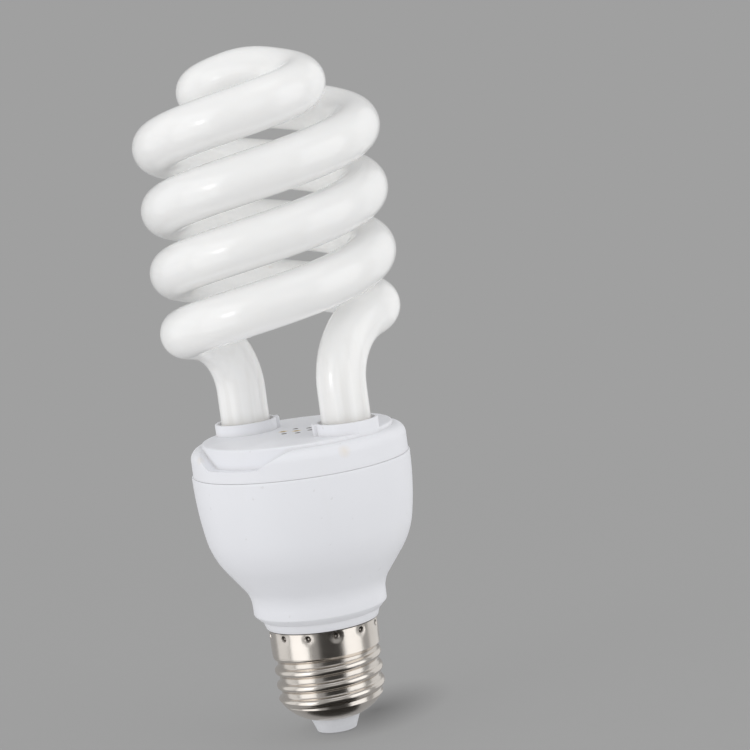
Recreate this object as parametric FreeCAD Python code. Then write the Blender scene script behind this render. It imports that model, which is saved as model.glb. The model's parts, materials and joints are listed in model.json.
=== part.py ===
"""Spiral energy saving bulb with a screw cap, modelled piece by piece in millimetres.

The lamp stands on its centre contact at the origin, with +Z up its own axis. The two
legs of the glass spiral stand on the X axis. Every piece that a repairer would find on
the bench is a solid of its own.
"""
import FreeCAD, Part
import math
import os

V = FreeCAD.Vector
UP = V(0, 0, 1)
ORIGIN = V(0, 0, 0)

# Glass spiral
TUBE_DIAMETER = 11.8
COIL_RADIUS = 23.4
COIL_PITCH = 29.6
COIL_WRAP_DEG = 606.5
COIL_TOP_Z = 150.9
LEG_RADIUS = 16.0
LEG_BEND_RADIUS = 16.0
LEG_HOOK_RADIUS = 8.0
CROWN_SLOPE_DEG = 12.6
CROWN_BLEND_RADIUS = 100.0
CROWN_HALF_SPAN = 4.5
TUBE_END_DEPTH = 6.1
SEAL_RADIUS = 3.6
SEAL_HEIGHT = 1.9
LEAD_WIRE_DIAMETER = 0.6
LEAD_WIRE_SPACING = 2.6

# Top cover
COVER_TOP_Z = 73.5
COVER_PLATE = 2.0
DISC_RADIUS = 22.9
DISC_STEP = 0.9
DISC_EDGE_ROUND = 0.5
COVER_RIM_RADIUS = 25.85
SHOULDER_ROUND = 2.7
SHOULDER_RING_INNER_RADIUS = 20.9
SHOULDER_RING_DEPTH = 4.9
COLLAR_HEIGHT = 2.7
COLLAR_WALL = 0.75
COLLAR_GAP = 0.85
COLLAR_EAR = 0.6
COLLAR_EAR_WIDTH = 3.4
COLLAR_EAR_BEARING_DEG = 48.0
SLEEVE_WALL = 1.0
SLEEVE_DEPTH = 4.0
CEMENT_RECESS = 0.7
SKIRT_DEPTH = 5.7
SKIRT_WALL = 1.5
NOTCH_BEARING_DEG = 271.9
NOTCH_FLOOR_WIDTH = 14.4
NOTCH_MOUTH_WIDTH = 27.6
NOTCH_DEPTH = 3.8
NOTCH_CORNER_RADIUS = 4.0
NOTCH_LIP_DEG = 8.0
VENT_DIAMETER = 1.3
VENT_RING_RADIUS = 3.6
VENT_COUNT = 6

# Lower housing
BELLY_RADIUS = 26.2
BELLY_TOP_Z = 65.95
BELLY_BAND = 0.6
BELLY_ARC_RADIUS = 82.5
BELLY_ARC_DEG = 10.2
SIDE_ARC_RADIUS = 20.0
SIDE_SLOPE_DEG = 36.5
FOOT_ARC_RADIUS = 7.5
NECK_RADIUS = 16.1
NECK_STEP_Z = 29.1
NECK_STEP_RADIUS = 14.45
NECK_STEP = 0.2
NECK_RING_FOOT_RADIUS = 13.5
HOUSING_WALL = 1.6
SPIGOT_BORE_RADIUS = 10.4
SPIGOT_NOSE_LENGTH = 2.3
SEAM_GAP = 0.2
LAP_CLEARANCE = 0.15

# Screw cap
CAP_TOP_Z = 27.0
CAP_SKIRT_RADIUS = 13.1
CAP_SKIRT_HEIGHT = 6.4
CAP_SHEET = 0.35
THREAD_MAJOR_RADIUS = 13.03
THREAD_PITCH = 3.629
THREAD_ARC_RADIUS = 1.025
THREAD_TURNS = 6.5
THREAD_START_Z = -0.4
THREAD_FLANK_END_DEG = 25.0
THREAD_ROOT_LAND = 0.01
CAP_EYE_RADIUS = 6.2
CAP_EYE_Z = 3.8
CAP_DOME_SIDE_Z = 9.7
CAP_DOME_BULGE = 0.95
DIMPLE_COUNT = 12
DIMPLE_PHASE_DEG = 24.0
DIMPLE_DROP = 1.4
DIMPLE_BALL_RADIUS = 0.95
DIMPLE_DEPTH = 0.45
CAP_FIT = 0.05

# Insulator and contact
INSULATOR_FOOT_Z = 0.4
INSULATOR_FOOT_RADIUS = 4.8
INSULATOR_TOP_Z = 6.9
INSULATOR_FIT = 0.1
CONTACT_RADIUS = 2.7
CONTACT_EDGE = 0.2
CONTACT_STEM_RADIUS = 1.4
CONTACT_STEM_TOP_Z = 7.5

# Ballast board and what stands on it
BOARD_RADIUS = 22.9
BOARD_THICKNESS = 1.6
BOARD_TOP_Z = 63.2
BOARD_RIB_WIDTH = 4.0
BOARD_RIB_REACH = 1.6
BOARD_HOOK_REACH = 1.1
BOARD_HOOK_HEIGHT = 1.1
PIN_DIAMETER = 1.0
PIN_HEIGHT = 3.4
PIN_INSET = 5.4
PIN_SPACING = 7.0
WIRE_DIAMETER = 1.2
SHELL_WIRE_RADIUS = 9.55
SHELL_WIRE_BEND = 1.5

# Capacitors
CAN_PLACE = (0, -7.6)
CAN_RADIUS = 6.5
CAN_LENGTH = 24.0
CAN_BEAD = 0.5
CAN_BEAD_DEPTH = 2.6
RESONANCE_X = (11.0, 16.0)
RESONANCE_Y = (-7.4, 4.2)
RESONANCE_HEIGHT = 9.0
COUPLING_X = (12.0, 16.0)
COUPLING_Y = (5.4, 14.6)
COUPLING_HEIGHT = 8.0
FILM_CORNER_RADIUS = 0.6

# Choke
CHOKE_Y = 8.6
CHOKE_WIDTH = 16.0
CHOKE_HEIGHT = 14.0
CHOKE_THICKNESS = 5.0
CHOKE_LIMB = 2.4
CHOKE_CENTRE_LIMB = 4.0
CHOKE_BASE_THICKNESS = 1.0
COIL_FLANGE = 2.6
COIL_CORNER_RADIUS = 1.2
COIL_FIT = 0.15

# Ring transformer
RING_PLACE = V(-14.0, -6.0, 0)
RING_OUTER = 4.8
RING_INNER = 2.5
RING_HEIGHT = 3.6
RING_WIRE = 0.35
RING_WINDING_BEARINGS_DEG = (90, 210, 330)
RING_WINDING_WIDTH = 2.0

# Transistors
INNER_TRANSISTOR_X = -12.0
OUTER_TRANSISTOR_X = -17.0
TRANSISTOR_Y = 5.0
TRANSISTOR_THICKNESS = 2.8
TRANSISTOR_WIDTH = 8.0
TRANSISTOR_HEIGHT = 11.0
TRANSISTOR_LEG = 0.6
TRANSISTOR_LEG_LENGTH = 2.5
TRANSISTOR_LEG_SPACING = 2.3
TRANSISTOR_HOLE_RADIUS = 1.6
TRANSISTOR_HOLE_HEIGHT = 3.0

# Small parts that lie against the board: place, radius and length of the body
FUSE_RESISTOR = ((-8.6, -17.0), 1.6, 7.6)
BIAS_RESISTOR = ((7.6, 15.2), 0.9, 3.2)
TRIGGER_RESISTOR = ((7.6, 17.9), 0.9, 3.2)
DIODE_XS = (7.4, 9.95, 12.5, 15.05)
DIODE_Y = -12.1
DIODE_RADIUS = 1.2
DIODE_LENGTH = 4.0
AXIAL_LEAD_RADIUS = 0.35
AXIAL_LEAD_RUN = 1.1
THERMISTOR_Y = 17.5
THERMISTOR_RADIUS = 3.4
THERMISTOR_THICKNESS = 2.4
THERMISTOR_EDGE_RADIUS = 0.7
INDUCTOR_PLACE = V(-8.5, 15.9, 0)
INDUCTOR_FLANGE_RADIUS = 3.0
INDUCTOR_WAIST_RADIUS = 2.6
INDUCTOR_HEIGHT = 8.0
INDUCTOR_RIM = 1.2

# Derived places
TUBE_RADIUS = TUBE_DIAMETER / 2
BOARD_UNDERSIDE = BOARD_TOP_Z - BOARD_THICKNESS
COLLAR_BORE = TUBE_RADIUS + COLLAR_GAP
COLLAR_TOP = COVER_TOP_Z + COLLAR_HEIGHT
SHOULDER_TOP = COVER_TOP_Z - DISC_STEP
SHOULDER_RING_FOOT = SHOULDER_TOP - SHOULDER_RING_DEPTH
COVER_UNDERSIDE = COVER_TOP_Z - COVER_PLATE
SKIRT_OUTER = BELLY_RADIUS - HOUSING_WALL - LAP_CLEARANCE
SKIRT_INNER = SKIRT_OUTER - SKIRT_WALL
TUBE_END_Z = COVER_TOP_Z - TUBE_END_DEPTH
LEGS = {"left": V(-LEG_RADIUS, 0, 0), "right": V(LEG_RADIUS, 0, 0)}
THREAD_FLANK_DEG = math.degrees(math.asin(THREAD_PITCH / (4 * THREAD_ARC_RADIUS)))
THREAD_CREST_CENTRE = THREAD_MAJOR_RADIUS - THREAD_ARC_RADIUS
THREAD_ROOT_CENTRE = THREAD_CREST_CENTRE + 2 * THREAD_ARC_RADIUS * math.cos(math.radians(THREAD_FLANK_DEG))


def polar(radius, bearing_deg, z=0.0):
    """Point at a radius and a bearing round the lamp's axis."""
    angle = math.radians(bearing_deg)
    return V(radius * math.cos(angle), radius * math.sin(angle), z)


def line(a, b):
    return Part.LineSegment(a, b).toShape()


def arc(a, middle, b):
    return Part.Arc(a, middle, b).toShape()


def on_circle(centre, radius, angle_deg):
    """Point of the XZ plane on a circle about a (radius, z) pair, measured down from level."""
    angle = math.radians(angle_deg)
    return V(centre[0] + radius * math.cos(angle), 0, centre[1] - radius * math.sin(angle))


def bend(centre, radius, from_deg, to_deg):
    """Arc of that circle between two angles."""
    return arc(*[on_circle(centre, radius, angle) for angle in (from_deg, (from_deg + to_deg) / 2, to_deg)])


def outline(points):
    """Straight-sided closed wire in the XZ plane from (radius, z) pairs."""
    corners = [V(radius, 0, z) for radius, z in points]
    return Part.makePolygon(corners + corners[:1])


def turned(points, centre=ORIGIN):
    """Solid of revolution about a vertical axis, from (radius, z) pairs."""
    return turned_face(Part.Face(outline(points)), centre)


def turned_face(face, centre=ORIGIN):
    solid = face.revolve(ORIGIN, UP, 360)
    solid.translate(V(centre.x, centre.y, 0))
    return solid


def ring(inner, outer, z0, z1, centre=ORIGIN):
    return turned([(inner, z0), (outer, z0), (outer, z1), (inner, z1)], centre)


def rod(radius, z0, z1, centre=ORIGIN):
    return Part.makeCylinder(radius, z1 - z0, V(centre.x, centre.y, z0))


def block(x0, x1, y0, y1, z0, z1):
    return Part.makeBox(x1 - x0, y1 - y0, z1 - z0, V(x0, y0, z0))


def round_edges(solid, radius, keep):
    """Fillet the edges that the test picks out."""
    return solid.makeFillet(radius, [edge for edge in solid.Edges if keep(edge)])


def is_upright(edge):
    start, end = edge.Vertexes[0].Point, edge.Vertexes[-1].Point
    return math.hypot(end.x - start.x, end.y - start.y) < 1e-6


def half_turn(shape):
    twin = shape.copy()
    twin.rotate(ORIGIN, UP, 180)
    return twin


def swept(path, radius):
    """Round bar along a path that starts where its first edge starts."""
    wire = Part.Wire(Part.__sortEdges__(path))
    first = wire.OrderedEdges[0]
    at_start = first.valueAt(first.FirstParameter), first.tangentAt(first.FirstParameter)
    at_end = first.valueAt(first.LastParameter), first.tangentAt(first.LastParameter)
    start = wire.OrderedVertexes[0].Point
    place, way = at_start if at_start[0].distanceToPoint(start) < 1e-6 else at_end
    section = Part.Wire([Part.makeCircle(radius, place, way)])
    return wire.makePipeShell([section], True, False)


def rising_arc(centre, radius, slope, start, turn, z):
    """Stretch of a helix about a vertical axis; angles in radians, turning left as it rises."""
    pitch = 2 * math.pi * radius * math.tan(slope)
    helix = Part.makeHelix(pitch, pitch * turn / (2 * math.pi), radius)
    helix.rotate(ORIGIN, UP, math.degrees(start))
    helix.translate(V(centre.x, centre.y, z))
    return helix.Edges


def spiral_path():
    """Centre line of the glass: two identical strands that meet in the crown."""
    slope = math.atan(COIL_PITCH / (2 * math.pi * COIL_RADIUS))
    wrap = math.radians(COIL_WRAP_DEG)

    # The leg bends over in an upright plane, then hooks round a small circle that touches
    # the coil from inside. Its place follows from the triangle axis, hook centre and leg.
    leg_reach = LEG_BEND_RADIUS * (1 - math.sin(slope))
    hook_offset = COIL_RADIUS - LEG_HOOK_RADIUS
    leg_to_hook = math.hypot(LEG_HOOK_RADIUS, leg_reach)
    cosine = (hook_offset ** 2 + LEG_RADIUS ** 2 - leg_to_hook ** 2) / (2 * hook_offset * LEG_RADIUS)
    join = math.acos(cosine)
    hook_centre = V(hook_offset * math.cos(join), hook_offset * math.sin(join), 0)
    leg = LEGS["right"]
    to_leg = leg - hook_centre
    hook_start = math.atan2(to_leg.y, to_leg.x) + math.atan2(leg_reach, LEG_HOOK_RADIUS)
    hook_turn = (join - hook_start) % (2 * math.pi)

    coil_start_z = COIL_TOP_Z - COIL_PITCH * wrap / (2 * math.pi)
    hook_z = coil_start_z - LEG_HOOK_RADIUS * hook_turn * math.tan(slope)
    heading = V(-math.sin(hook_start), math.cos(hook_start), 0)
    leg_top = leg + UP * (hook_z - LEG_BEND_RADIUS * math.cos(slope))
    bend_centre = leg_top + heading * LEG_BEND_RADIUS

    def on_bend(angle):
        across, up = -LEG_BEND_RADIUS * math.cos(angle), LEG_BEND_RADIUS * math.sin(angle)
        return bend_centre + heading * across + UP * up

    bend_turn = math.pi / 2 - slope
    strand = [line(leg + UP * TUBE_END_Z, leg_top)]
    strand.append(arc(leg_top, on_bend(bend_turn / 2), on_bend(bend_turn)))
    strand += rising_arc(hook_centre, LEG_HOOK_RADIUS, slope, hook_start, hook_turn, hook_z)
    strand += rising_arc(ORIGIN, COIL_RADIUS, slope, join, wrap, coil_start_z)

    # At the top of the coil the strand lifts a little and curls in to the axis.
    top = join + wrap
    outward = V(math.cos(top), math.sin(top), 0)
    onward = V(-math.sin(top), math.cos(top), 0)
    crown_slope = math.radians(CROWN_SLOPE_DEG)
    lift_centre = (outward * COIL_RADIUS + onward * (-CROWN_BLEND_RADIUS * math.sin(slope))
                   + UP * (COIL_TOP_Z + CROWN_BLEND_RADIUS * math.cos(slope)))

    def on_lift(angle):
        along, down = CROWN_BLEND_RADIUS * math.sin(angle), CROWN_BLEND_RADIUS * math.cos(angle)
        return lift_centre + onward * along - UP * down

    lifted = on_lift(crown_slope)
    strand.append(arc(on_lift(slope), on_lift((slope + crown_slope) / 2), lifted))
    run_on = CROWN_BLEND_RADIUS * (math.sin(crown_slope) - math.sin(slope))
    curl = (COIL_RADIUS ** 2 + run_on ** 2 - CROWN_HALF_SPAN ** 2) / (2 * COIL_RADIUS)
    curl_centre = outward * (COIL_RADIUS - curl) + onward * run_on
    curl_end = math.atan2(curl_centre.y, curl_centre.x) + math.pi - math.atan2(CROWN_HALF_SPAN, curl)
    curl_turn = (curl_end - top) % (2 * math.pi)
    strand += rising_arc(curl_centre, curl, crown_slope, top, curl_turn, lifted.z)

    # The two strands are joined by one arc over the axis.
    crown_z = lifted.z + curl * curl_turn * math.tan(crown_slope)
    meet = V(curl_centre.x + curl * math.cos(curl_end), curl_centre.y + curl * math.sin(curl_end), crown_z)
    summit = UP * (crown_z + CROWN_HALF_SPAN * math.tan(crown_slope / 2))
    bridge = arc(meet, summit, V(-meet.x, -meet.y, meet.z))
    return strand + [bridge] + [half_turn(edge) for edge in strand]


def spiral_tube():
    return swept(spiral_path(), TUBE_RADIUS)


def tube_seal(leg):
    """Pinched glass foot that closes one end of the tube."""
    foot = TUBE_END_Z - SEAL_HEIGHT
    side = SEAL_HEIGHT / 3
    points = [(0, foot), (SEAL_RADIUS - side, foot), (SEAL_RADIUS, foot + side),
              (SEAL_RADIUS, TUBE_END_Z), (0, TUBE_END_Z)]
    return turned(points, leg)


def pin_place(leg, side):
    inward = -1 if leg.x > 0 else 1
    return V(leg.x + inward * PIN_INSET, side * PIN_SPACING / 2, 0)


def lead_wire(leg, side):
    """Bare wire from the seal, round one bend, to its pin on the board."""
    start = V(leg.x, side * LEAD_WIRE_SPACING / 2, TUBE_END_Z - SEAL_HEIGHT)
    pin = pin_place(leg, side)
    run = V(pin.x - start.x, pin.y - start.y, 0)
    way = run * (1 / run.Length)
    bend_radius = LEAD_WIRE_DIAMETER
    low = start - UP * (bend_radius / 2)
    corner = low - UP * bend_radius
    out = corner + way * bend_radius
    half_turned = math.pi / 4
    across, down = bend_radius * (1 - math.cos(half_turned)), bend_radius * math.sin(half_turned)
    middle = low + way * across - UP * down
    end = corner + way * (run.Length - PIN_DIAMETER / 2)
    return swept([line(start, low), arc(low, middle, out), line(out, end)], LEAD_WIRE_DIAMETER / 2)


def board_pins():
    """Four posts that the lead wires are wrapped round."""
    posts = [rod(PIN_DIAMETER / 2, BOARD_TOP_Z, BOARD_TOP_Z + PIN_HEIGHT, pin_place(leg, side))
             for leg in LEGS.values() for side in (-1, 1)]
    return Part.makeCompound(posts)


def tube_cement(leg):
    top = COVER_TOP_Z - CEMENT_RECESS
    return ring(TUBE_RADIUS + CAP_FIT, COLLAR_BORE - CAP_FIT, COVER_UNDERSIDE - SLEEVE_DEPTH, top, leg)


def cover_body():
    """Disc, rounded shoulder, rim and skirt in one turning."""
    rim_foot = BELLY_TOP_Z + SEAM_GAP
    ring_side = SHOULDER_RING_FOOT - (SKIRT_INNER - SHOULDER_RING_INNER_RADIUS) / 2
    corners = [(0, COVER_TOP_Z), (0, COVER_UNDERSIDE), (SHOULDER_RING_INNER_RADIUS, COVER_UNDERSIDE),
               (SHOULDER_RING_INNER_RADIUS, SHOULDER_RING_FOOT), (SKIRT_INNER, ring_side),
               (SKIRT_INNER, rim_foot - SKIRT_DEPTH), (SKIRT_OUTER, rim_foot - SKIRT_DEPTH),
               (SKIRT_OUTER, rim_foot), (COVER_RIM_RADIUS, rim_foot)]
    corners = [V(radius, 0, z) for radius, z in corners]
    shoulder_centre = (COVER_RIM_RADIUS - SHOULDER_ROUND, SHOULDER_TOP - SHOULDER_ROUND)
    shoulder = bend(shoulder_centre, SHOULDER_ROUND, 0, -90)
    disc_edge = bend((DISC_RADIUS - DISC_EDGE_ROUND, COVER_TOP_Z - DISC_EDGE_ROUND), DISC_EDGE_ROUND, 0, -90)
    edges = [line(a, b) for a, b in zip(corners, corners[1:])]
    edges += [line(corners[-1], shoulder.Vertexes[0].Point), shoulder,
              line(shoulder.Vertexes[-1].Point, V(DISC_RADIUS, 0, SHOULDER_TOP)),
              line(V(DISC_RADIUS, 0, SHOULDER_TOP), disc_edge.Vertexes[0].Point), disc_edge,
              line(disc_edge.Vertexes[-1].Point, corners[0])]
    return turned_face(Part.Face(Part.Wire(edges)))


def notch_side():
    """One end of the notch from its floor up: hollow bend, slope and rounded lip."""
    rise = NOTCH_DEPTH
    run = (NOTCH_MOUTH_WIDTH - NOTCH_FLOOR_WIDTH) / 2
    radius = NOTCH_CORNER_RADIUS
    slope = math.degrees(math.atan2(rise, run))
    tangent = radius * math.tan(math.radians(slope / 2))
    floor = SHOULDER_TOP - NOTCH_DEPTH
    low = bend((NOTCH_FLOOR_WIDTH / 2 - tangent, floor + radius), radius, 90, 90 - slope)
    high_centre = (NOTCH_MOUTH_WIDTH / 2 + tangent, SHOULDER_TOP - radius)
    high = bend(high_centre, radius, -90 - slope, -90 - NOTCH_LIP_DEG)
    return [low, line(low.Vertexes[-1].Point, high.Vertexes[0].Point), high]


def notch(bearing_deg):
    """Finger notch bitten out of the shoulder, with soft S-shaped ends."""
    side = Part.Wire(notch_side())
    side.rotate(ORIGIN, UP, 90)
    mirrored = side.mirror(ORIGIN, V(0, 1, 0))
    foot, lip = side.Vertexes[0].Point, side.Vertexes[-1].Point
    over = V(0, lip.y, COLLAR_TOP)
    flip = [V(0, -point.y, point.z) for point in (foot, lip, over)]
    closing = [line(lip, over), line(over, flip[2]), line(flip[2], flip[1]), line(flip[0], foot)]
    wire = Part.Wire(Part.__sortEdges__(side.Edges + mirrored.Edges + closing))
    tool = Part.Face(wire).extrude(V(2 * COVER_RIM_RADIUS, 0, 0))
    tool = tool.cut(rod(DISC_RADIUS, foot.z - 1, COLLAR_TOP + 1))
    tool.rotate(ORIGIN, UP, bearing_deg)
    return tool


def collar(leg):
    """Low sleeve round a leg, with one squared ear."""
    outer = COLLAR_BORE + COLLAR_WALL
    half = COLLAR_EAR_WIDTH / 2
    wall = rod(outer, COVER_UNDERSIDE, COLLAR_TOP, leg)
    ear = block(0, outer + COLLAR_EAR, -half, half, COVER_UNDERSIDE, COLLAR_TOP)
    inward = 180 if leg.x > 0 else 0
    ear.rotate(ORIGIN, UP, inward + COLLAR_EAR_BEARING_DEG)
    ear.translate(leg)
    sleeve = rod(COLLAR_BORE + SLEEVE_WALL, COVER_UNDERSIDE - SLEEVE_DEPTH, COVER_UNDERSIDE, leg)
    return wall.fuse([ear, sleeve])


def board_grip(bearing_deg):
    """Rib that the board's top bears on, and the hook that holds it from below."""
    half = BOARD_RIB_WIDTH / 2
    into_skirt = SKIRT_INNER + SKIRT_WALL / 2
    rib = block(SKIRT_INNER - BOARD_RIB_REACH, into_skirt, -half, half, BOARD_TOP_Z, SHOULDER_RING_FOOT)
    hook = block(SKIRT_INNER - BOARD_HOOK_REACH, into_skirt, -half, half,
                 BOARD_UNDERSIDE - BOARD_HOOK_HEIGHT, BOARD_UNDERSIDE)
    grip = rib.fuse(hook)
    grip.rotate(ORIGIN, UP, bearing_deg)
    return grip


def top_cover():
    grips = [board_grip(bearing) for bearing in (45, 135, 225, 315)]
    cover = cover_body().fuse([collar(leg) for leg in LEGS.values()] + grips)
    depth = COVER_UNDERSIDE - SLEEVE_DEPTH - 1
    openings = [rod(COLLAR_BORE, depth, COLLAR_TOP + 1, leg) for leg in LEGS.values()]
    openings += [notch(NOTCH_BEARING_DEG), notch(NOTCH_BEARING_DEG - 180)]
    vents = [ORIGIN] + [polar(VENT_RING_RADIUS, 360 * k / VENT_COUNT + 15) for k in range(VENT_COUNT)]
    openings += [rod(VENT_DIAMETER / 2, COVER_UNDERSIDE - 1, COVER_TOP_Z + 1, place) for place in vents]
    return cover.cut(openings)


def housing_side(offset):
    """Edges of the housing's flank from the rim down to the neck, moved in by an offset.

    Each arc keeps its centre when the wall is offset, so that both faces stay parallel.
    """
    first, second = BELLY_ARC_DEG, SIDE_SLOPE_DEG
    slope = math.radians(SIDE_SLOPE_DEG)
    belly_z = BELLY_TOP_Z - BELLY_BAND
    belly_centre = (BELLY_RADIUS - BELLY_ARC_RADIUS, belly_z)
    join = on_circle(belly_centre, BELLY_ARC_RADIUS, first)
    to_side = on_circle((0, 0), SIDE_ARC_RADIUS, first)
    side_centre = (join.x - to_side.x, join.z - to_side.z)
    side_end = on_circle(side_centre, SIDE_ARC_RADIUS, second)
    foot_x = NECK_RADIUS + FOOT_ARC_RADIUS * (1 - math.cos(slope))
    foot_z = side_end.z - (side_end.x - foot_x) / math.tan(slope)
    foot_centre = (NECK_RADIUS + FOOT_ARC_RADIUS, foot_z - FOOT_ARC_RADIUS * math.sin(slope))

    belly = bend(belly_centre, BELLY_ARC_RADIUS - offset, 0, first)
    side = bend(side_centre, SIDE_ARC_RADIUS - offset, first, second)
    foot = bend(foot_centre, FOOT_ARC_RADIUS + offset, second - 180, -180)
    rim = V(BELLY_RADIUS - offset, 0, BELLY_TOP_Z)
    edges = [line(rim, belly.Vertexes[0].Point), belly, side,
             line(side.Vertexes[-1].Point, foot.Vertexes[0].Point), foot]
    return edges, rim, foot.Vertexes[-1].Point


def lower_housing():
    outer, outer_rim, outer_neck = housing_side(0.0)
    inner, inner_rim, inner_neck = housing_side(HOUSING_WALL)
    spigot = CAP_SKIRT_RADIUS - CAP_SHEET - CAP_FIT
    nose = thread_core_radius() - CAP_SHEET - 2 * CAP_FIT
    spigot_foot = CAP_TOP_Z - CAP_SKIRT_HEIGHT + 2 * CAP_SHEET
    nose_foot = spigot_foot - SPIGOT_NOSE_LENGTH
    neck_foot_z = NECK_STEP_Z + (NECK_RADIUS - NECK_STEP_RADIUS)
    ledge_z = neck_foot_z - HOUSING_WALL
    slope_top = ledge_z + (inner_neck.x - SPIGOT_BORE_RADIUS) / 2
    corners = [outer_neck, V(NECK_RADIUS, 0, neck_foot_z), V(NECK_STEP_RADIUS, 0, NECK_STEP_Z),
               V(NECK_STEP_RADIUS - NECK_STEP, 0, NECK_STEP_Z), V(NECK_RING_FOOT_RADIUS, 0, CAP_TOP_Z),
               V(spigot, 0, CAP_TOP_Z), V(spigot, 0, spigot_foot), V(nose, 0, spigot_foot - (spigot - nose)),
               V(nose, 0, nose_foot), V(SPIGOT_BORE_RADIUS, 0, nose_foot),
               V(SPIGOT_BORE_RADIUS, 0, ledge_z), V(inner_neck.x, 0, slope_top), inner_neck]
    joins = [line(a, b) for a, b in zip(corners, corners[1:])]
    wire = Part.Wire(Part.__sortEdges__(outer + inner + joins + [line(inner_rim, outer_rim)]))
    housing = turned_face(Part.Face(wire))
    recess = DIMPLE_BALL_RADIUS + CAP_SHEET + CAP_FIT
    return housing.cut([Part.makeSphere(recess, centre) for centre in dimple_centres()])


def thread_core_radius(offset=0.0):
    """Radius of the plain cylinder between two turns of the thread's ridge."""
    root_radius = THREAD_ARC_RADIUS + offset
    return THREAD_ROOT_CENTRE - root_radius * math.cos(math.radians(THREAD_FLANK_END_DEG)) + THREAD_ROOT_LAND


def thread_ridge(offset):
    """Rounded ridge of the rolled thread; the offset gives the inner face of the sheet."""
    flank = math.radians(THREAD_FLANK_DEG)
    end = math.radians(THREAD_FLANK_END_DEG)
    half_pitch = THREAD_PITCH / 2
    crest_radius = THREAD_ARC_RADIUS - offset
    root_radius = THREAD_ARC_RADIUS + offset

    def on_crest(angle):
        return V(THREAD_CREST_CENTRE + crest_radius * math.cos(angle), 0, crest_radius * math.sin(angle))

    def on_root(angle, side):
        height = side * (half_pitch - root_radius * math.sin(angle))
        return V(THREAD_ROOT_CENTRE - root_radius * math.cos(angle), 0, height)

    middle = (flank + end) / 2
    inside = thread_core_radius(offset) - CAP_SHEET
    low, high = on_root(end, -1), on_root(end, 1)
    low_in, high_in = V(inside, 0, low.z), V(inside, 0, high.z)
    edges = [line(low_in, low), arc(low, on_root(middle, -1), on_crest(-flank)),
             arc(on_crest(-flank), on_crest(0), on_crest(flank)),
             arc(on_crest(flank), on_root(middle, 1), high), line(high, high_in), line(high_in, low_in)]
    section = Part.Wire(edges)
    section.translate(UP * THREAD_START_Z)
    helix = Part.makeHelix(THREAD_PITCH, THREAD_PITCH * THREAD_TURNS, THREAD_MAJOR_RADIUS)
    helix.translate(UP * THREAD_START_Z)
    return helix.makePipeShell([section], True, True)


def cap_form(offset):
    """Solid bounded by one face of the cap's sheet: skirt, rolled thread and dome."""
    skirt_radius = CAP_SKIRT_RADIUS - offset
    core_radius = thread_core_radius(offset)
    skirt_foot = CAP_TOP_Z - CAP_SKIRT_HEIGHT + offset
    top = CAP_TOP_Z
    cone_foot = skirt_foot - (skirt_radius - core_radius)
    skirt = turned([(0, cone_foot), (core_radius, cone_foot), (skirt_radius, skirt_foot), (skirt_radius, top),
                    (0, top)])
    body = rod(core_radius, 0, top).fuse(thread_ridge(offset)).fuse(skirt)

    eye, side = V(CAP_EYE_RADIUS, 0, CAP_EYE_Z), V(CAP_SKIRT_RADIUS, 0, CAP_DOME_SIDE_Z)
    chord = side - eye
    outward = V(chord.z, 0, -chord.x) * (1 / chord.Length)
    bulged = (eye + side) * 0.5 + outward * CAP_DOME_BULGE
    circle = arc(eye, bulged, side).Curve
    centre, radius = circle.Center, circle.Radius - offset

    def on_dome(point):
        way = point - centre
        return centre + way * (radius / way.Length)

    a, m, b = on_dome(eye), on_dome(bulged), on_dome(side)
    b_top = V(b.x, 0, top)
    edges = [line(V(0, 0, a.z), a), arc(a, m, b), line(b, b_top), line(b_top, V(0, 0, top)),
             line(V(0, 0, top), V(0, 0, a.z))]
    return body.common(turned_face(Part.Face(Part.Wire(edges))))


def dimple_centres():
    """Centres of the balls that press the cap's crimp dimples."""
    reach = CAP_SKIRT_RADIUS - DIMPLE_DEPTH + DIMPLE_BALL_RADIUS
    return [polar(reach, DIMPLE_PHASE_DEG + 360 * k / DIMPLE_COUNT, CAP_TOP_Z - DIMPLE_DROP)
            for k in range(DIMPLE_COUNT)]


def screw_shell():
    outer = cap_form(0.0)
    hollow = cap_form(CAP_SHEET)
    bumps = [Part.makeSphere(DIMPLE_BALL_RADIUS + CAP_SHEET, centre) for centre in dimple_centres()]
    hollow = hollow.cut(bumps)
    dents = [Part.makeSphere(DIMPLE_BALL_RADIUS, centre) for centre in dimple_centres()]
    eye = rod(CAP_EYE_RADIUS, 0, INSULATOR_TOP_Z)
    return outer.cut([hollow, eye] + dents)


def insulator():
    neck = CAP_EYE_RADIUS - INSULATOR_FIT
    sheet_top = CAP_EYE_Z + CAP_SHEET + INSULATOR_FIT
    flange = thread_core_radius() - CAP_SHEET - 2
    points = [(INSULATOR_FOOT_RADIUS, INSULATOR_FOOT_Z), (neck, CAP_EYE_Z), (neck, sheet_top),
              (flange, INSULATOR_TOP_Z), (CONTACT_STEM_RADIUS + CAP_FIT, INSULATOR_TOP_Z),
              (CONTACT_STEM_RADIUS + CAP_FIT, INSULATOR_FOOT_Z)]
    return turned(points)


def centre_contact():
    points = [(0, 0), (CONTACT_RADIUS - CONTACT_EDGE, 0), (CONTACT_RADIUS, CONTACT_EDGE),
              (CONTACT_RADIUS, INSULATOR_FOOT_Z), (CONTACT_STEM_RADIUS, INSULATOR_FOOT_Z),
              (CONTACT_STEM_RADIUS, CONTACT_STEM_TOP_Z), (0, CONTACT_STEM_TOP_Z)]
    return turned(points)


def contact_wire():
    return rod(WIRE_DIAMETER / 2, CONTACT_STEM_TOP_Z, BOARD_UNDERSIDE)


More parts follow.
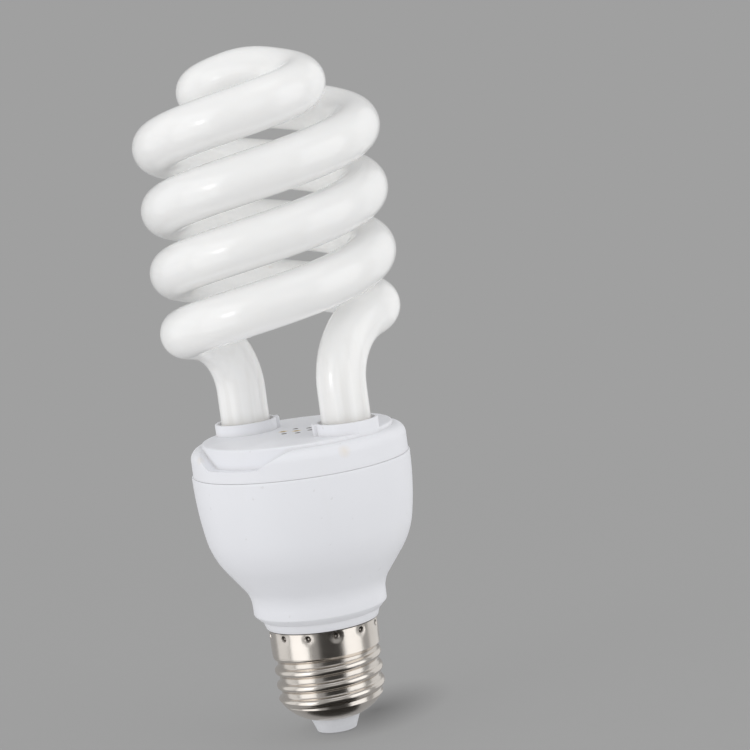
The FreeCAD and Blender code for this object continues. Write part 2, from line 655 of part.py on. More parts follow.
def shell_wire():
    """Insulated wire from the board down the neck and out against the cap's wall."""
    top = V(SHELL_WIRE_RADIUS, 0, BOARD_UNDERSIDE)
    nose_foot = CAP_TOP_Z - CAP_SKIRT_HEIGHT + 2 * CAP_SHEET - SPIGOT_NOSE_LENGTH
    foot_z = nose_foot - WIRE_DIAMETER / 2 - CAP_SHEET
    bend_top = V(SHELL_WIRE_RADIUS, 0, foot_z + SHELL_WIRE_BEND)
    bend_end = V(SHELL_WIRE_RADIUS + SHELL_WIRE_BEND, 0, foot_z)
    drop = SHELL_WIRE_BEND * math.sin(math.pi / 4)
    middle = V(bend_end.x - drop, 0, bend_top.z - drop)
    end = V(thread_core_radius() - CAP_SHEET - CAP_FIT, 0, foot_z)
    path = [line(top, bend_top), arc(bend_top, middle, bend_end), line(bend_end, end)]
    return swept(path, WIRE_DIAMETER / 2)


def circuit_board():
    return rod(BOARD_RADIUS, BOARD_UNDERSIDE, BOARD_TOP_Z)


def electrolytic_capacitor():
    """Can with a rolled bead near its open end."""
    foot = BOARD_UNDERSIDE - CAN_LENGTH
    bead_z = BOARD_UNDERSIDE - CAN_BEAD_DEPTH
    waist = CAN_RADIUS - CAN_BEAD
    points = [(0, foot), (waist, foot), (CAN_RADIUS, foot + CAN_BEAD), (CAN_RADIUS, bead_z - CAN_BEAD),
              (waist, bead_z), (CAN_RADIUS, bead_z + CAN_BEAD), (CAN_RADIUS, BOARD_UNDERSIDE),
              (0, BOARD_UNDERSIDE)]
    return turned(points, V(*CAN_PLACE, 0))


def choke_base():
    half = CHOKE_WIDTH / 2 - CHOKE_LIMB
    foot = BOARD_UNDERSIDE - CHOKE_BASE_THICKNESS
    return block(-half, half, CHOKE_Y - half, CHOKE_Y + half, foot, BOARD_UNDERSIDE)


def choke_window(side):
    """Window between the centre limb and one outer limb."""
    top = BOARD_UNDERSIDE - CHOKE_BASE_THICKNESS - CHOKE_LIMB
    bottom = top - (CHOKE_HEIGHT - 2 * CHOKE_LIMB)
    near, far = CHOKE_CENTRE_LIMB / 2, CHOKE_WIDTH / 2 - CHOKE_LIMB
    x0, x1 = sorted((side * near, side * far))
    return block(x0, x1, CHOKE_Y - CHOKE_THICKNESS, CHOKE_Y + CHOKE_THICKNESS, bottom, top)


def choke_core():
    top = BOARD_UNDERSIDE - CHOKE_BASE_THICKNESS
    half = CHOKE_THICKNESS / 2
    width = CHOKE_WIDTH / 2
    body = block(-width, width, CHOKE_Y - half, CHOKE_Y + half, top - CHOKE_HEIGHT, top)
    return body.cut([choke_window(-1), choke_window(1)])


def choke_winding():
    """Wound bobbin that fills both windows and stands out either side of the core."""
    window = choke_window(1).BoundBox
    half_x = window.XMax - COIL_FIT
    half_y = CHOKE_THICKNESS / 2 + COIL_FLANGE
    low, high = window.ZMin + COIL_FIT, window.ZMax - COIL_FIT
    body = block(-half_x, half_x, CHOKE_Y - half_y, CHOKE_Y + half_y, low, high)
    body = round_edges(body, COIL_CORNER_RADIUS, is_upright)
    limb_x = CHOKE_CENTRE_LIMB / 2 + COIL_FIT
    limb_y = CHOKE_THICKNESS / 2 + COIL_FIT
    return body.cut(block(-limb_x, limb_x, CHOKE_Y - limb_y, CHOKE_Y + limb_y, low, high))


def ring_core():
    top = BOARD_UNDERSIDE - RING_WIRE
    return ring(RING_INNER, RING_OUTER, top - RING_HEIGHT, top, RING_PLACE)


def ring_winding():
    """Three short windings wrapped round the ring's section."""
    foot = BOARD_UNDERSIDE - RING_HEIGHT - 2 * RING_WIRE
    sleeve = ring(RING_INNER - RING_WIRE, RING_OUTER + RING_WIRE, foot, BOARD_UNDERSIDE, RING_PLACE)
    sleeve = sleeve.cut(ring_core())
    windings = []
    half = RING_WINDING_WIDTH / 2
    for bearing in RING_WINDING_BEARINGS_DEG:
        slot = block(0, 2 * RING_OUTER, -half, half, BOARD_UNDERSIDE - 2 * RING_HEIGHT, BOARD_UNDERSIDE + 1)
        slot.rotate(ORIGIN, UP, bearing)
        slot.translate(RING_PLACE)
        windings.append(sleeve.common(slot).Solids[0])
    return Part.makeCompound(windings)


def boxed_capacitor(xs, ys, height):
    body = block(*xs, *ys, BOARD_UNDERSIDE - height, BOARD_UNDERSIDE)
    return round_edges(body, FILM_CORNER_RADIUS, is_upright)


def transistor(x):
    """Flat plastic package hanging on three legs."""
    half_x, half_y, half_leg = TRANSISTOR_THICKNESS / 2, TRANSISTOR_WIDTH / 2, TRANSISTOR_LEG / 2
    top = BOARD_UNDERSIDE - TRANSISTOR_LEG_LENGTH
    foot = top - TRANSISTOR_HEIGHT
    body = block(x - half_x, x + half_x, TRANSISTOR_Y - half_y, TRANSISTOR_Y + half_y, foot, top)
    hole_start = V(x - TRANSISTOR_THICKNESS, TRANSISTOR_Y, foot + TRANSISTOR_HOLE_HEIGHT)
    hole = Part.makeCylinder(TRANSISTOR_HOLE_RADIUS, TRANSISTOR_THICKNESS + 1, hole_start, V(1, 0, 0))
    leg_ys = [TRANSISTOR_Y + k * TRANSISTOR_LEG_SPACING for k in (-1, 0, 1)]
    legs = [block(x - half_leg, x + half_leg, y - half_leg, y + half_leg, top, BOARD_UNDERSIDE)
            for y in leg_ys]
    return body.cut(hole).fuse(legs)


def axial_part(place, radius, length, way=V(1, 0, 0)):
    """Round body lying against the board, with a lead bent up to it at each end."""
    lead, run = AXIAL_LEAD_RADIUS, AXIAL_LEAD_RUN
    centre = V(place[0], place[1], BOARD_UNDERSIDE - radius)
    body = Part.makeCylinder(radius, length, centre - way * (length / 2), way)
    corner = 2 * lead
    inset = corner * (1 - math.cos(math.pi / 4))
    leads = []
    for side in (-1, 1):
        out = way * side
        inner = centre + out * (length / 2 - lead)
        level_end = centre + out * (length / 2 + run - corner)
        turn_end = centre + out * (length / 2 + run) + UP * corner
        middle = centre + out * (length / 2 + run - inset) + UP * inset
        top = V(turn_end.x, turn_end.y, BOARD_UNDERSIDE)
        path = [line(inner, level_end), arc(level_end, middle, turn_end), line(turn_end, top)]
        leads.append(swept(path, lead))
    return body.fuse(leads)


def disc_thermistor():
    start = V(0, THERMISTOR_Y - THERMISTOR_THICKNESS / 2, BOARD_UNDERSIDE - THERMISTOR_RADIUS)
    disc = Part.makeCylinder(THERMISTOR_RADIUS, THERMISTOR_THICKNESS, start, V(0, 1, 0))
    return round_edges(disc, THERMISTOR_EDGE_RADIUS, lambda edge: len(edge.Vertexes) == 1)


def filter_inductor():
    """Drum core with its winding between two flanges."""
    flange, waist, top = INDUCTOR_FLANGE_RADIUS, INDUCTOR_WAIST_RADIUS, BOARD_UNDERSIDE
    foot = top - INDUCTOR_HEIGHT
    points = [(0, foot), (flange, foot), (flange, foot + INDUCTOR_RIM), (waist, foot + INDUCTOR_RIM),
              (waist, top - INDUCTOR_RIM), (flange, top - INDUCTOR_RIM), (flange, top), (0, top)]
    return turned(points, INDUCTOR_PLACE)


def build():
    pieces = {
        "spiral_tube": spiral_tube(),
        "top_cover": top_cover(),
        "lower_housing": lower_housing(),
        "screw_shell": screw_shell(),
        "insulator": insulator(),
        "centre_contact": centre_contact(),
        "circuit_board": circuit_board(),
        "board_pins": board_pins(),
        "contact_wire": contact_wire(),
        "shell_wire": shell_wire(),
        "electrolytic_capacitor": electrolytic_capacitor(),
        "choke_base": choke_base(),
        "choke_core": choke_core(),
        "choke_winding": choke_winding(),
        "ring_core": ring_core(),
        "ring_winding": ring_winding(),
        "resonance_capacitor": boxed_capacitor(RESONANCE_X, RESONANCE_Y, RESONANCE_HEIGHT),
        "coupling_capacitor": boxed_capacitor(COUPLING_X, COUPLING_Y, COUPLING_HEIGHT),
        "inner_transistor": transistor(INNER_TRANSISTOR_X),
        "outer_transistor": transistor(OUTER_TRANSISTOR_X),
        "fuse_resistor": axial_part(*FUSE_RESISTOR),
        "disc_thermistor": disc_thermistor(),
        "filter_inductor": filter_inductor(),
        "bias_resistor": axial_part(*BIAS_RESISTOR),
        "trigger_resistor": axial_part(*TRIGGER_RESISTOR),
    }
    for name, leg in LEGS.items():
        pieces["tube_cement_" + name] = tube_cement(leg)
        pieces["tube_seal_" + name] = tube_seal(leg)
        for side, word in ((-1, "front"), (1, "rear")):
            pieces["lead_wire_" + name + "_" + word] = lead_wire(leg, side)
    for number, x in enumerate(DIODE_XS, start=1):
        diode = axial_part((x, DIODE_Y), DIODE_RADIUS, DIODE_LENGTH, V(0, 1, 0))
        pieces["rectifier_diode_" + str(number)] = diode
    return pieces


os.makedirs("parts", exist_ok=True)
for node, shape in build().items():
    shape.exportStep("parts/" + node + ".step")
    state = "valid" if shape.isValid() else "INVALID"
    print(node, state, "solids", len(shape.Solids), "volume", round(shape.Volume, 1))
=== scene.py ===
# %% [markdown]
# # A spiral energy saving bulb
#
# This lesson dresses a screw-in lamp whose solids are already made: a white glass spiral on
# two legs, a round moulded housing in two parts and a metal screw cap. The solids give every
# size and place. The lesson adds what the eye needs: smooth glass, moulded plastic with soft
# edges, and a rolled metal cap.

# %% Load the solids
import json
import math

import bmesh
import bpy
from mathutils import Matrix, Vector


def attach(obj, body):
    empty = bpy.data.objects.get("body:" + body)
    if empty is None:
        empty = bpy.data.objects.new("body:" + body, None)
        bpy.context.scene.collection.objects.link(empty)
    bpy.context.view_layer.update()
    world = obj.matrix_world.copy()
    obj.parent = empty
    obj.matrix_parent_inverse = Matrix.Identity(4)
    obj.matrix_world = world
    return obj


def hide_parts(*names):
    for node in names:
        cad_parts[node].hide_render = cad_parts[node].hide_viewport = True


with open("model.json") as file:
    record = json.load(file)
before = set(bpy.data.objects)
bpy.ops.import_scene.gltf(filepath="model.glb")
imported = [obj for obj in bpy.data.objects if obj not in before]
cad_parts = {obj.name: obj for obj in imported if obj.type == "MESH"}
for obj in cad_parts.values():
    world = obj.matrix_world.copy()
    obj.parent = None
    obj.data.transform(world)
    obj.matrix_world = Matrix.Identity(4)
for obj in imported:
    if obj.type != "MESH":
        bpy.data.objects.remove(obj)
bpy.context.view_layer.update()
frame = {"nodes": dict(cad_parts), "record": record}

nodes = frame["nodes"]

# %% [markdown]
# ## Small helpers
#
# Sizes are written in millimetres, as on a drawing, and Blender works in metres. After
# loading, every solid is selected, and an operator acts on all that is selected, so each new
# piece starts with an empty selection.

# %% Helpers for sizes and selection
MM = 0.001
SMOOTH_ANGLE = 30


def start_clean():
    """Leave object mode with nothing selected."""
    if bpy.context.object and bpy.context.object.mode != "OBJECT":
        bpy.ops.object.mode_set(mode="OBJECT")
    bpy.ops.object.select_all(action="DESELECT")


def pick(piece):
    """Make one piece the only selected and active object."""
    start_clean()
    piece.select_set(True)
    bpy.context.view_layer.objects.active = piece


def triangles(piece):
    """Count the triangles that a piece's faces make."""
    return sum(len(face.vertices) - 2 for face in piece.data.polygons)


def settle(piece):
    """Put a piece's place into its mesh, so that its object stands at the origin."""
    pick(piece)
    bpy.ops.object.transform_apply(location=True, rotation=True, scale=True)


def smooth(piece):
    """Shade a piece smooth, apart from the edges that bend by more than the smooth angle."""
    pick(piece)
    bpy.ops.object.shade_smooth_by_angle(angle=math.radians(SMOOTH_ANGLE))


def hand_over(piece, slot_name, *replaced):
    """Attach a finished piece to the lamp and hide the solids it stands for."""
    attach(piece, "root")
    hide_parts(*replaced)
    print(piece.name, "has", triangles(piece), "triangles")


# %% [markdown]
# ## Materials as arithmetic
#
# A surface is a recipe: a colour that drifts a little, a roughness that is not quite even, a
# bump too small to model. Each recipe is arithmetic on patterns. The class below wraps one
# output of a shader node, and overloads the operators, so that an expression such as
# 1 - mask * 0.3 builds its Math nodes by itself.

# %% A number that varies over a surface
class Varying:
    """One node output that takes part in arithmetic."""

    def __init__(self, recipe, socket):
        self.recipe = recipe
        self.socket = socket

    def _math(self, operation, *inputs, clamp=False):
        settings = {"operation": operation, "use_clamp": clamp}
        return self.recipe.node("ShaderNodeMath", settings, *inputs)

    def __add__(self, other):
        return self._math("ADD", self, other)

    __radd__ = __add__

    def __mul__(self, other):
        return self._math("MULTIPLY", self, other)

    def __sub__(self, other):
        return self._math("SUBTRACT", self, other)

    def __rsub__(self, other):
        return self._math("SUBTRACT", other, self)

    def __pow__(self, other):
        return self._math("POWER", self, other)

    def angle_over(self, other):
        """The angle whose sine and cosine go with this value and the other."""
        return self._math("ARCTAN2", self, other)

    def fraction(self):
        return self._math("FRACT", self)

    def clamped(self):
        return self._math("ADD", self, 0.0, clamp=True)

    def lowest(self, other):
        return self._math("MINIMUM", self, other)

    def highest(self, other):
        return self._math("MAXIMUM", self, other)

    def ramp(self, low, high):
        """0 below low, 1 above high, straight in between."""
        settings = {"interpolation_type": "LINEAR", "clamp": True}
        inputs = {"Value": self, "From Min": low, "From Max": high}
        return self.recipe.node("ShaderNodeMapRange", settings, inputs)


def span(first, second):
    """The length of the slanted line whose two square sides are given."""
    return (first * first + second * second) ** 0.5


print("patterns can be added, multiplied and compared")

# %% A recipe for one material
CREASE_RAYS = 8


class Recipe:
    """A material that is built from one Principled shader and a few patterns."""

    def __init__(self, name):
        self.material = bpy.data.materials.new(name)
        self.material.use_nodes = True
        self.tree = self.material.node_tree
        self.shader = next(n for n in self.tree.nodes if n.type == "BSDF_PRINCIPLED")
        self.place = self.node("ShaderNodeTexCoord", {}, output="Object")

    def _feed(self, socket, value):
        if isinstance(value, Varying):
            self.tree.links.new(value.socket, socket)
        else:
            socket.default_value = value

    def node(self, kind, settings, *inputs, output=0):
        """Add a node: its settings, its inputs in order or as one dictionary, the output wanted."""
        made = self.tree.nodes.new(kind)
        for key, value in settings.items():
            setattr(made, key, value)
        by_name = inputs and isinstance(inputs[0], dict)
        for key, value in (inputs[0].items() if by_name else enumerate(inputs)):
            self._feed(made.inputs[key], value)
        return Varying(self, made.outputs[output])

    def axis(self, letter):
        return self.node("ShaderNodeSeparateXYZ", {}, self.place, output=letter)

    def from_axis(self):
        """Distance from the lamp's axis."""
        return span(self.axis("X"), self.axis("Y"))

    def stretched(self, x, y, z):
        """Object coordinates scaled along each axis, for grain and streaks."""
        return self.node("ShaderNodeVectorMath", {"operation": "MULTIPLY"}, self.place, (x, y, z))

    def noise(self, scale, detail, roughness=0.5, at=None):
        inputs = {"Vector": at or self.place, "Scale": scale, "Detail": detail,
                  "Roughness": roughness}
        return self.node("ShaderNodeTexNoise", {}, inputs)

    def blend(self, factor, first, second):
        """Mix two colours by a varying factor."""
        mix = self.tree.nodes.new("ShaderNodeMix")
        mix.data_type = "RGBA"
        self._feed(mix.inputs["Factor"], factor)
        colours = [socket for socket in mix.inputs if socket.type == "RGBA"]
        self._feed(colours[0], first)
        self._feed(colours[1], second)
        result = next(socket for socket in mix.outputs if socket.type == "RGBA")
        return Varying(self, result)

    def tint(self, colour, over, mask, share):
        """Lay a second colour over the first where the mask is 1, at a share of its strength."""
        return self.blend(mask * share, colour, over)

    def bump(self, height, distance, strength, under=None):
        inputs = {"Height": height, "Distance": distance, "Strength": strength}
        if under:
            inputs["Normal"] = under
        return self.node("ShaderNodeBump", {}, inputs)

    def crease(self, reach):
        """1 deep in a corner or gap, 0 on an open face; reach is how far it looks, in metres."""
        settings = {"samples": CREASE_RAYS}
        inputs = {"Distance": reach}
        return 1 - self.node("ShaderNodeAmbientOcclusion", settings, inputs, output="AO")

    def spot(self, place, inner, outer):
        """1 within the inner distance of a point, fading to 0 at the outer one."""
        settings = {"operation": "DISTANCE"}
        away = self.node("ShaderNodeVectorMath", settings, self.place, place, output="Value")
        return 1 - away.ramp(inner, outer)

    def round_the_axis(self, count, phase, radius):
        """Distance along the circle to the nearest of some evenly spaced bearings."""
        angle = self.axis("Y").angle_over(self.axis("X"))
        steps = angle * (count / math.tau) - phase * count / 360 + 0.5
        return (steps.fraction() - 0.5) * (math.tau * radius / count)

    def set(self, **values):
        """Set shader sockets by name, with underscores for spaces."""
        for key, value in values.items():
            self._feed(self.shader.inputs[key.replace("_", " ")], value)
        return self.material


def shade(red, green, blue):
    """A colour read from the screen, turned into the linear light that shaders use."""
    def linear(value):
        value = value / 255
        return value / 12.92 if value <= 0.04045 else ((value + 0.055) / 1.055) ** 2.4
    return (linear(red), linear(green), linear(blue), 1.0)


def grey(level):
    """A neutral colour that is given in linear light."""
    return (level, level, level, 1.0)


print("the screen's grey 128 is", round(shade(128, 128, 128)[0], 3), "in linear light")

# %% [markdown]
# ## White plastic
#
# The housing is moulded in a hard white plastic. It is a cool white, a little glossy, with a
# texture so fine that it only softens the reflections. Slow drifts in tone come from the flow
# in the mould. A few faint rub marks, specks and two stains keep it from looking like
# porcelain, and painted shade darkens its corners and gaps. The vents in the disc are real
# holes. Their walls, and a thin ring round each, get painted shade, as dark as a deep hole
# looks from a step away, and two of them show the amber of a part inside. All marks are
# masks worked out from a place on the lamp, so they need no image.

# %% Mix the plastic
PLASTIC_TONES = shade(233, 234, 239), shade(239, 240, 244)
RUBBED = shade(226, 224, 218)
SPECK = shade(170, 166, 160)

CORNER_SHADE = shade(190, 186, 178)
CORNER_SHADE_REACH = 1.2 * MM

DISC_TOP = 73.5 * MM
VENTS = 6
VENT_RING = 3.6 * MM
VENT_PHASE = 15.0
VENT_EDGE = 0.66 * MM
VENT_BLUR = 1.15
VENT_DEPTHS = (DISC_TOP - 4 * MM, DISC_TOP - 3 * MM)
VENT_SHADE = shade(122, 116, 112)

AMBER = shade(226, 202, 150)
AMBER_FADE = (0.7 * MM, 1.35 * MM)
AMBER_VENTS = ((-3.48 * MM, -0.93 * MM, DISC_TOP), (0.0, 0.0, DISC_TOP))

STAIN = shade(232, 220, 202)
STAIN_FADE = (0.2 * MM, 1.9 * MM)
STAINS = ((23.57 * MM, -10.62 * MM, 70.72 * MM), (-10.89 * MM, -23.44 * MM, 71.53 * MM))

PLASTIC_GRAIN = 0.02 * MM


def in_vents(recipe):
    """1 in the seven vents, which are one in the middle and six on a ring, and 0 elsewhere."""
    across = recipe.round_the_axis(VENTS, VENT_PHASE, VENT_RING)
    from_axis = recipe.from_axis()
    to_ring_vent = span(across, from_axis - VENT_RING)
    to_vent = to_ring_vent.lowest(from_axis)
    near_disc_top = recipe.axis("Z").ramp(*VENT_DEPTHS)
    return (1 - to_vent.ramp(VENT_EDGE, VENT_EDGE * VENT_BLUR)) * near_disc_top


def moulded_white():
    recipe = Recipe("moulded_white")
    drift = recipe.noise(scale=28.0, detail=3.0)
    grain = recipe.noise(scale=2600.0, detail=2.0)
    rubs = recipe.noise(scale=90.0, detail=4.0, roughness=0.65, at=recipe.stretched(1.0, 1.0, 0.25))
    specks = recipe.noise(scale=700.0, detail=1.0).ramp(0.74, 0.79)

    colour = recipe.blend((drift * 1.4 - 0.2).clamped(), *PLASTIC_TONES)
    colour = recipe.tint(colour, RUBBED, ((rubs - 0.62) * 2.2).clamped(), share=0.25)
    colour = recipe.tint(colour, SPECK, specks, share=0.15)
    # Painted shade in the corners and gaps, wherever the crease mask finds them.
    colour = recipe.tint(colour, CORNER_SHADE, recipe.crease(CORNER_SHADE_REACH), share=0.42)
    # Painted shade in the vents' walls and on a thin ring round each.
    colour = recipe.tint(colour, VENT_SHADE, in_vents(recipe), share=0.9)
    for place in AMBER_VENTS:
        colour = recipe.tint(colour, AMBER, recipe.spot(place, *AMBER_FADE), share=0.75)
    for place in STAINS:
        patchy = recipe.spot(place, *STAIN_FADE) * (rubs * 2.0 - 0.5).clamped()
        colour = recipe.tint(colour, STAIN, patchy, share=0.8)
    return recipe.set(Base_Color=colour, Roughness=0.38 + drift * 0.08 + grain * 0.05, IOR=1.48,
                      Normal=recipe.bump(grain, PLASTIC_GRAIN, strength=0.35))


plastic = moulded_white()
print(plastic.name, "has", len(plastic.node_tree.nodes), "nodes")

# %% [markdown]
# ## Coated glass
#
# The tube is clear glass with white powder baked on its inner wall. The eye sees a soft white
# body under a thin, clear skin. A white base that lets light wander under its surface gives
# the soft body, and a coat on top gives the bright reflections. The coating is thinner
# towards the ends of the legs, so they are a touch greyer and streaky there.
#
# The real tube is hollow, and light that enters its front leaves at its back, on the inner
# side of the coil. The solid here is filled, so a faint glow stands for that light, on the
# inner side and in the legs. Tracing light through a hollow tube would take far longer.

# %% Mix the coated glass
POWDER_TONES = shade(238, 238, 238), shade(242, 242, 241)
THIN_POWDER = shade(218, 217, 215)
GAP_SHADE = shade(222, 215, 206)
GAP_REACH = 2.5 * MM
BROWN_SPECK = shade(196, 172, 152)

LEG_FOOT = 74.0 * MM
LEG_TOP = 100.0 * MM
CROWN_FOOT = 143.0 * MM
COIL_INSIDE = 18.5 * MM
COIL_MIDDLE = 24.0 * MM
GLOW_FADE = 6 * MM
LEG_GLOW_FADE = 2 * MM

DARK = grey(0.0)
GLOW = 0.13
GLOW_COLOUR = (GLOW, GLOW, GLOW * 0.985, 1.0)
LEG_GLOW = 0.35
GLASS_WAVES = 0.2 * MM
LIGHT_WANDERS = 7.0 * MM


def inner_side(recipe, height):
    """1 where the coil's turns face the axis, and 0 outside, in the legs and in the crown."""
    facing_in = 1 - recipe.from_axis().ramp(COIL_INSIDE, COIL_MIDDLE)
    above_legs = height.ramp(LEG_TOP, LEG_TOP + GLOW_FADE)
    under_crown = 1 - height.ramp(CROWN_FOOT, CROWN_FOOT + GLOW_FADE)
    return facing_in * above_legs * under_crown


def coated_glass():
    recipe = Recipe("coated_glass")
    height = recipe.axis("Z")
    cloud = recipe.noise(scale=60.0, detail=3.0)
    streaks = recipe.noise(scale=300.0, detail=2.0, roughness=0.55,
                           at=recipe.stretched(1.0, 1.0, 0.04)).ramp(0.42, 0.6)
    waves = recipe.noise(scale=130.0, detail=1.0)
    inside = inner_side(recipe, height)
    specks = recipe.noise(scale=330.0, detail=3.0, roughness=0.6).ramp(0.66, 0.74)
    towards_foot = 1 - height.ramp(LEG_FOOT, LEG_TOP)

    colour = recipe.blend(cloud.clamped(), *POWDER_TONES)
    colour = recipe.tint(colour, THIN_POWDER, towards_foot * streaks, share=0.6)
    colour = recipe.tint(colour, GAP_SHADE, recipe.crease(GAP_REACH), share=0.5)
    colour = recipe.tint(colour, BROWN_SPECK, specks * inside, share=0.2)

    in_legs = 1 - height.ramp(LEG_TOP - LEG_GLOW_FADE, LEG_TOP + GLOW_FADE)
    glow = recipe.blend(inside.highest(in_legs * LEG_GLOW), DARK, GLOW_COLOUR)
    return recipe.set(Base_Color=colour, Roughness=0.5 + cloud * 0.06, IOR=1.45,
                      Specular_IOR_Level=0.2, Coat_Weight=1.0, Coat_IOR=1.6, Coat_Roughness=0.12,
                      Subsurface_Weight=1.0, Subsurface_Radius=(1.0, 0.98, 0.96),
                      Subsurface_Scale=LIGHT_WANDERS,
                      Emission_Color=glow, Emission_Strength=1.0,
                      Normal=recipe.bump(waves, GLASS_WAVES, strength=0.25))


glass = coated_glass()
print(glass.name, "has", len(glass.node_tree.nodes), "nodes")

# %% [markdown]
# ## Plated sheet
#
# The cap is rolled from thin sheet and plated. Plating follows every tool mark, so the
# reflections are bright but a little drawn out round the cap. Twelve dimples crimp it onto
# the housing. The solid has them as plain dents, and the bump below makes each run out softly
# into the sheet, with a ring of painted shade in it. A thin band of painted shade also runs
# along the top edge of the sheet, where it meets the housing.

# %% Mix the plating
PLATING_TONES = shade(232, 226, 219), shade(220, 213, 205)
PIT_SHADE = shade(58, 52, 48)
GROOVE_SHADE = shade(120, 108, 96)
GROOVE_REACH = 1.0 * MM

CAP_TOP = 27.0 * MM
CAP_RADIUS = 13.1 * MM
TOP_SHADE_BAND = 0.3 * MM
DIMPLES = 12
DIMPLE_PHASE = 24.0
DIMPLE_HEIGHT = CAP_TOP - 1.4 * MM
DIMPLE_PIT = 0.62 * MM
PIT_RIM = (DIMPLE_PIT * 0.85, DIMPLE_PIT * 1.2)
PIT_MIDDLE = (DIMPLE_PIT * 0.1, DIMPLE_PIT * 0.45)
DENT_SIDE = (DIMPLE_PIT * 0.4, DIMPLE_PIT * 3.4)
DENT_DEPTH = 0.16 * MM
ROLLING_LINES = 0.02 * MM


def plated_sheet():
    recipe = Recipe("plated_sheet")
    lines = recipe.noise(scale=900.0, detail=3.0, at=recipe.stretched(0.1, 0.1, 1.0))
    spots = recipe.noise(scale=110.0, detail=3.0)
    z = recipe.axis("Z")

    # Each dimple gets a ring of painted shade round a middle that is left bright; its place is an
    # angle and a height.
    along = recipe.round_the_axis(DIMPLES, DIMPLE_PHASE, CAP_RADIUS)
    away = span(along, z - DIMPLE_HEIGHT)
    pit_shade = (1 - away.ramp(*PIT_RIM)) * away.ramp(*PIT_MIDDLE)
    # A thin band of painted shade along the top edge of the sheet, where it meets the housing.
    top_edge_shade = z.ramp(CAP_TOP - TOP_SHADE_BAND, CAP_TOP - TOP_SHADE_BAND * 0.75)
    # All painted shade on the cap, the dimple rings and the top band, which is also rougher.
    painted_shade = pit_shade.highest(top_edge_shade)

    colour = recipe.blend((spots * 1.2 - 0.3).clamped(), *PLATING_TONES)
    colour = recipe.tint(colour, PIT_SHADE, painted_shade, share=0.92)
    colour = recipe.tint(colour, GROOVE_SHADE, recipe.crease(GROOVE_REACH), share=0.5)

    # The dent's side is an S-curve, so it has no kink at its foot or its rim.
    side = away.ramp(*DENT_SIDE)
    dent = recipe.bump(side * side * (3 - side * 2), DENT_DEPTH, strength=1.0)
    return recipe.set(Base_Color=colour, Metallic=1.0,
                      Roughness=0.16 + lines * 0.06 + spots * 0.06 + painted_shade * 0.3,
                      Normal=recipe.bump(lines, ROLLING_LINES, strength=0.15, under=dent))


plating = plated_sheet()
print(plating.name, "has", len(plating.node_tree.nodes), "nodes")

# %% [markdown]
# ## Plain recipes for the small and the hidden parts
#
# Inside the housing a board carries the ballast. Nobody sees it while the lamp is whole, yet
# each part still gets its own finish, because a reader may take the lamp apart. These parts,
# the insulator, the contact and the cement all have the same build, a mottled colour with a
# fine bump, so one function makes them. A table then gives each slot of the lamp its finish.

# %% Mix the plain finishes
FINE_BUMP = 0.03 * MM
CEMENT_BUMP = 0.1 * MM


def mottled(name, first, second, roughness, metallic=0.0, scale=300.0, height=FINE_BUMP):
    """Two tones of one colour in a fine pattern, with an even finer bump."""
    recipe = Recipe(name)
    pattern = recipe.noise(scale, detail=4.0, roughness=0.6)
    fine = recipe.noise(scale * 6, detail=2.0)
    colour = recipe.blend((pattern * 1.6 - 0.3).clamped(), shade(*first), shade(*second))
    return recipe.set(Base_Color=colour, Metallic=metallic, Roughness=roughness + pattern * 0.15,
                      Normal=recipe.bump(fine, height, strength=0.6))


finishes = {
    "board": mottled("laminate", (168, 132, 84), (186, 152, 100), 0.5),
    "pin_metal": mottled("tinned_wire", (196, 194, 188), (168, 166, 160), 0.25, metallic=1.0),
    "copper": mottled("enamelled_copper", (176, 92, 48), (140, 66, 34), 0.3, 0.6, 900.0),
    "wire_sleeve": mottled("wire_sleeve", (176, 42, 34), (150, 30, 26), 0.45),
    "can_sleeve": mottled("can_sleeve", (36, 38, 46), (24, 26, 32), 0.3),
    "ferrite": mottled("ferrite", (58, 58, 60), (40, 40, 42), 0.55),
    "bobbin": mottled("bobbin", (38, 37, 36), (28, 27, 26), 0.5),
    "film": mottled("dipped_film", (128, 40, 28), (104, 28, 20), 0.3),
    "package": mottled("moulded_package", (34, 34, 35), (24, 24, 25), 0.5),
    "resistor": mottled("resistor_lacquer", (186, 168, 130), (164, 144, 106), 0.4),
    "thermistor": mottled("thermistor_lacquer", (92, 78, 52), (74, 62, 42), 0.45),
    "cement": mottled("cement", (240, 237, 229), (228, 224, 214), 0.8,
                      scale=400.0, height=CEMENT_BUMP),
    "seal_glass": mottled("seal_glass", (208, 218, 216), (194, 206, 204), 0.1),
    "white_plastic": plastic,
    "coated_glass": glass,
    "cap_metal": plating,
    "insulator": mottled("insulator_white", (232, 234, 238), (224, 225, 229), 0.38, scale=120.0),
    "contact_metal": mottled("tinned_contact", (188, 184, 174), (160, 155, 144), 0.3, 1.0, 500.0),
}
for part in frame["record"]["subparts"]:
    solid = nodes[part["node"]]
    solid.data.materials.clear()
    solid.data.materials.append(finishes[part["material_slot"]])
print("finishes:", len(finishes))

# %% [markdown]
# ## Soft edges for the mouldings
#
# No moulded edge is perfectly sharp: plastic shrinks away from the corners of the mould. The
# solids have plain corners where a tool met a tool, so each moulding is copied, its loose
# triangles are merged into one skin, and a bevel rounds every sharp ridge that shows by a
# fraction of a millimetre. Hollow corners stay sharp, and so do the vents, which are too small
# for it. The copy stands for the solid. A bevel is better than a smoothed mesh here, because
# the flats stay flat.

# %% Merge corners that share a place
MERGE_REACH = 0.001 * MM


def merge_corners(piece):
    """Join corners that lie in one place, and drop the faces that have no area."""
    pick(piece)
    bpy.ops.object.mode_set(mode="EDIT")
    bpy.ops.mesh.select_all(action="SELECT")
    bpy.ops.mesh.remove_doubles(threshold=MERGE_REACH)
    bpy.ops.mesh.dissolve_degenerate(threshold=MERGE_REACH)
    bpy.ops.object.mode_set(mode="OBJECT")


